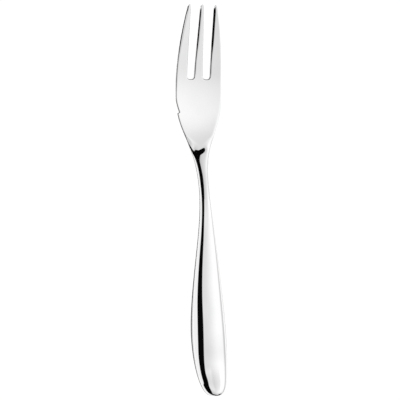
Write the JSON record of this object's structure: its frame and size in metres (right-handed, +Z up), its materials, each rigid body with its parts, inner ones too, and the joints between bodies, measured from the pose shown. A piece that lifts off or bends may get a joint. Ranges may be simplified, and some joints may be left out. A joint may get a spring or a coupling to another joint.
{
  "type": "fish fork",
  "caption": "Fish fork with pointed tines, a small notch in its left edge, a slim neck and a plump hollow teardrop handle, mirror polished.",
  "frame": {"origin": "middle of the fork's length on the handle's axis, on the table that it lies on; the centre of its box is 0.4 mm to the left", "axes": "+X to the right edge seen from the front with the tines up, +Y towards the tine tips, +Z up out of the front face"},
  "size_m": [0.0256, 0.19, 0.0124],
  "materials": {
    "polished_steel": "mirror polished",
    "braze": "polished silver brazing",
    "cement": "matte"
  },
  "bodies": {
    "root": {"fork_head": "polished_steel", "handle_front_shell": "polished_steel", "handle_back_shell": "polished_steel", "seam_braze": "braze", "mouth_braze": "braze", "handle_fill": "cement"}
  },
  "joints": []
}
